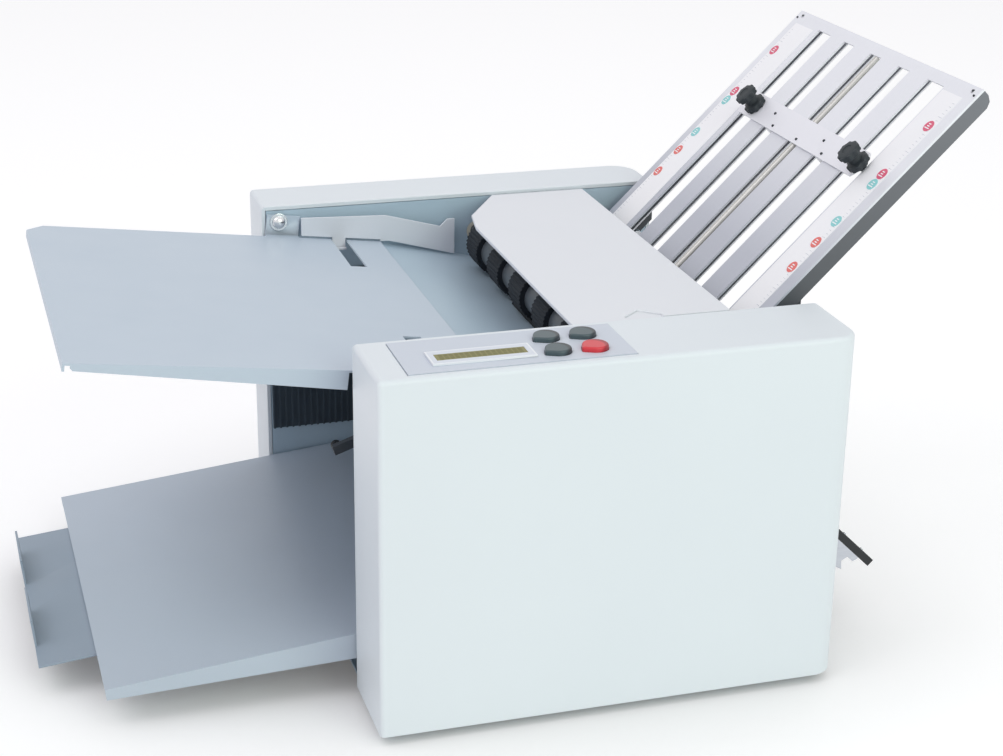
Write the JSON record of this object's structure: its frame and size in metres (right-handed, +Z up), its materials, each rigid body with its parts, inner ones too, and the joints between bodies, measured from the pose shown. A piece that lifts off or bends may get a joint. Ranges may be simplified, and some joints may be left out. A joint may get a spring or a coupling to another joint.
{
  "type": "paper folding machine",
  "caption": "Table-top paper folding machine with feed tray, lift-up feed cover, slotted fold plates with sliding stops, control panel and exit tray.",
  "frame": {"origin": "On the table under the middle of the whole machine's bounding box", "axes": "+X from the trays to the fold plates, +Y from the front cover to the rear cover, +Z up"},
  "size_m": [0.6085, 0.408, 0.3634],
  "materials": {
    "cover_white": "smooth satin",
    "panel_grey": "satin",
    "display_glass": "clear window over a display",
    "board_green": "satin",
    "button_dark": "satin",
    "button_red": "satin",
    "tray_blue": "fine powder coat",
    "frame_blue": "fine powder coat",
    "plate_silver": "satin anodised",
    "steel": "ground",
    "chrome": "polished",
    "dark_steel": "satin",
    "black_plastic": "satin",
    "black_rubber": "matte",
    "grey_plastic": "satin",
    "gear_plastic": "satin"
  },
  "bodies": {
    "machine": {"front_cover": "cover_white", "rear_cover": "cover_white", "front_side_plate": "frame_blue", "rear_side_plate": "frame_blue", "base_pan": "frame_blue", "rubber_feet": "black_rubber", "frame_rods": "steel", "control_panel": "panel_grey", "display_window": "display_glass", "panel_board": "board_green", "feed_tray": "tray_blue", "tray_studs": "chrome", "feed_bed": "tray_blue", "separator_pad": "black_rubber", "shaft_bushes": "gear_plastic", "drive_motor": "dark_steel", "drive_belts": "black_rubber", "exit_tray": "tray_blue", "exit_chute": "tray_blue", "ribbed_liner": "black_plastic", "upper_fold_plate": "plate_silver", "upper_backing": "plate_silver", "upper_hook_brackets": "dark_steel", "lower_fold_plate": "plate_silver", "lower_hook_brackets": "plate_silver", "guide_rod": "chrome", "mounting_pins": "steel", "power_supply": "steel", "power_inlet": "black_plastic"},
    "button_rear_left": {"button_rear_left": "button_dark"},
    "button_rear_right": {"button_rear_right": "button_dark"},
    "button_front_left": {"button_front_left": "button_dark"},
    "button_front_right": {"button_front_right": "button_red"},
    "feed_cover": {"feed_cover": "cover_white"},
    "rear_side_guide": {"rear_side_guide": "tray_blue"},
    "front_side_guide": {"front_side_guide": "tray_blue"},
    "roller_1": {"fold_roller_1": "black_rubber", "fold_gear_1": "gear_plastic"},
    "roller_2": {"fold_roller_2": "black_rubber", "fold_gear_2": "gear_plastic"},
    "roller_3": {"fold_roller_3": "black_rubber", "fold_gear_3": "gear_plastic"},
    "roller_4": {"fold_roller_4": "black_rubber", "fold_gear_4": "gear_plastic"},
    "feed_roller": {"feed_shaft": "grey_plastic", "feed_wheels": "black_rubber"},
    "exit_roller": {"exit_shaft": "steel", "exit_wheels": "black_rubber"},
    "exit_idler": {"exit_idlers": "black_rubber"},
    "motor_pulley": {"motor_pulley": "grey_plastic"},
    "stacker_arm": {"stacker_arm": "dark_steel"},
    "stacker_wheels": {"stacker_wheels": "black_rubber"},
    "exit_extension": {"exit_extension": "tray_blue"},
    "upper_stop": {"upper_stop": "plate_silver"},
    "upper_knob_rear": {"upper_knob_rear": "black_plastic"},
    "upper_knob_front": {"upper_knob_front": "black_plastic"},
    "lower_stop": {"lower_stop": "plate_silver"},
    "lower_knob_rear": {"lower_knob_rear": "black_plastic"},
    "lower_knob_front": {"lower_knob_front": "black_plastic"},
    "power_switch": {"power_switch": "black_plastic"}
  },
  "joints": [
    {"name": "button_rear_left_press", "type": "slide", "parent": "machine", "child": "button_rear_left", "axis": [0, 0, -1], "range_m": [0, 0.0012], "stiffness_N_per_m": 400},
    {"name": "button_rear_right_press", "type": "slide", "parent": "machine", "child": "button_rear_right", "axis": [0, 0, -1], "range_m": [0, 0.0012], "stiffness_N_per_m": 400},
    {"name": "button_front_left_press", "type": "slide", "parent": "machine", "child": "button_front_left", "axis": [0, 0, -1], "range_m": [0, 0.0012], "stiffness_N_per_m": 400},
    {"name": "button_front_right_press", "type": "slide", "parent": "machine", "child": "button_front_right", "axis": [0, 0, -1], "range_m": [0, 0.0012], "stiffness_N_per_m": 400},
    {"name": "feed_cover_hinge", "type": "hinge", "parent": "machine", "child": "feed_cover", "pos_m": [0.12577, 0.007, 0.2266], "axis": [0, 1, 0], "range_deg": [0, 85]},
    {"name": "rear_guide_slide", "type": "slide", "parent": "machine", "child": "rear_side_guide", "axis": [0, -1, 0], "range_m": [0, 0.065]},
    {"name": "front_guide_slide", "type": "slide", "parent": "machine", "child": "front_side_guide", "axis": [0, 1, 0], "range_m": [0, 0.065]},
    {"name": "roller_1_spin", "type": "hinge", "parent": "machine", "child": "roller_1", "pos_m": [0.09752, 0.007, 0.18055], "axis": [0, 1, 0], "continuous": true},
    {"name": "roller_2_spin", "type": "hinge", "parent": "machine", "child": "roller_2", "pos_m": [0.10477, 0.007, 0.1535], "axis": [0, 1, 0], "continuous": true},
    {"name": "roller_3_spin", "type": "hinge", "parent": "machine", "child": "roller_3", "pos_m": [0.13182, 0.007, 0.16075], "axis": [0, 1, 0], "continuous": true},
    {"name": "roller_4_spin", "type": "hinge", "parent": "machine", "child": "roller_4", "pos_m": [0.10963, 0.007, 0.12593], "axis": [0, 1, 0], "continuous": true},
    {"name": "feed_spin", "type": "hinge", "parent": "machine", "child": "feed_roller", "pos_m": [0.04977, 0.007, 0.20649], "axis": [0, 1, 0], "continuous": true},
    {"name": "exit_spin", "type": "hinge", "parent": "machine", "child": "exit_roller", "pos_m": [-0.04223, 0.007, 0.092], "axis": [0, 1, 0], "continuous": true},
    {"name": "idler_spin", "type": "hinge", "parent": "machine", "child": "exit_idler", "pos_m": [-0.04223, 0.007, 0.1093], "axis": [0, 1, 0], "continuous": true},
    {"name": "motor_spin", "type": "hinge", "parent": "machine", "child": "motor_pulley", "pos_m": [0.03777, 0.007, 0.036], "axis": [0, 1, 0], "continuous": true},
    {"name": "stacker_swing", "type": "hinge", "parent": "machine", "child": "stacker_arm", "pos_m": [-0.04823, 0.007, 0.172], "axis": [0, 1, 0], "range_deg": [-25, 12]},
    {"name": "stacker_wheel_spin", "type": "hinge", "parent": "stacker_arm", "child": "stacker_wheels", "pos_m": [-0.11198, 0.007, 0.15042], "axis": [0, 1, 0], "continuous": true},
    {"name": "extension_slide", "type": "slide", "parent": "machine", "child": "exit_extension", "axis": [-0.9947, 0, -0.1028], "range_m": [-0.03, 0.08]},
    {"name": "upper_stop_slide", "type": "slide", "parent": "machine", "child": "upper_stop", "axis": [0.7133, 0, 0.7009], "range_m": [-0.081, 0.06]},
    {"name": "upper_knob_rear_turn", "type": "hinge", "parent": "upper_stop", "child": "upper_knob_rear", "pos_m": [0.23957, 0.0804, 0.30621], "axis": [-0.7009, 0, 0.7133], "range_deg": [0, 270]},
    {"name": "upper_knob_front_turn", "type": "hinge", "parent": "upper_stop", "child": "upper_knob_front", "pos_m": [0.23957, -0.0854, 0.30621], "axis": [-0.7009, 0, 0.7133], "range_deg": [0, 270]},
    {"name": "lower_stop_slide", "type": "slide", "parent": "machine", "child": "lower_stop", "axis": [0.7157, 0, -0.6984], "range_m": [-0.06, 0.03]},
    {"name": "lower_knob_rear_turn", "type": "hinge", "parent": "lower_stop", "child": "lower_knob_rear", "pos_m": [0.19525, 0.0804, 0.07574], "axis": [0.6984, 0, 0.7157], "range_deg": [0, 270]},
    {"name": "lower_knob_front_turn", "type": "hinge", "parent": "lower_stop", "child": "lower_knob_front", "pos_m": [0.19525, -0.0854, 0.07574], "axis": [0.6984, 0, 0.7157], "range_deg": [0, 270]},
    {"name": "power_rocker", "type": "hinge", "parent": "machine", "child": "power_switch", "pos_m": [0.18752, 0.17, 0.078], "axis": [0, 1, 0], "range_deg": [-10, 10]}
  ],
  "couplings": [
    {"joint": "roller_1_spin", "follows": "roller_2_spin", "ratio": -1},
    {"joint": "roller_3_spin", "follows": "roller_2_spin", "ratio": -1},
    {"joint": "roller_4_spin", "follows": "roller_2_spin", "ratio": -1},
    {"joint": "feed_spin", "follows": "roller_2_spin", "ratio": -0.6},
    {"joint": "exit_spin", "follows": "roller_2_spin", "ratio": -1.4},
    {"joint": "idler_spin", "follows": "roller_2_spin", "ratio": 2},
    {"joint": "motor_spin", "follows": "roller_2_spin", "ratio": 1.5}
  ]
}
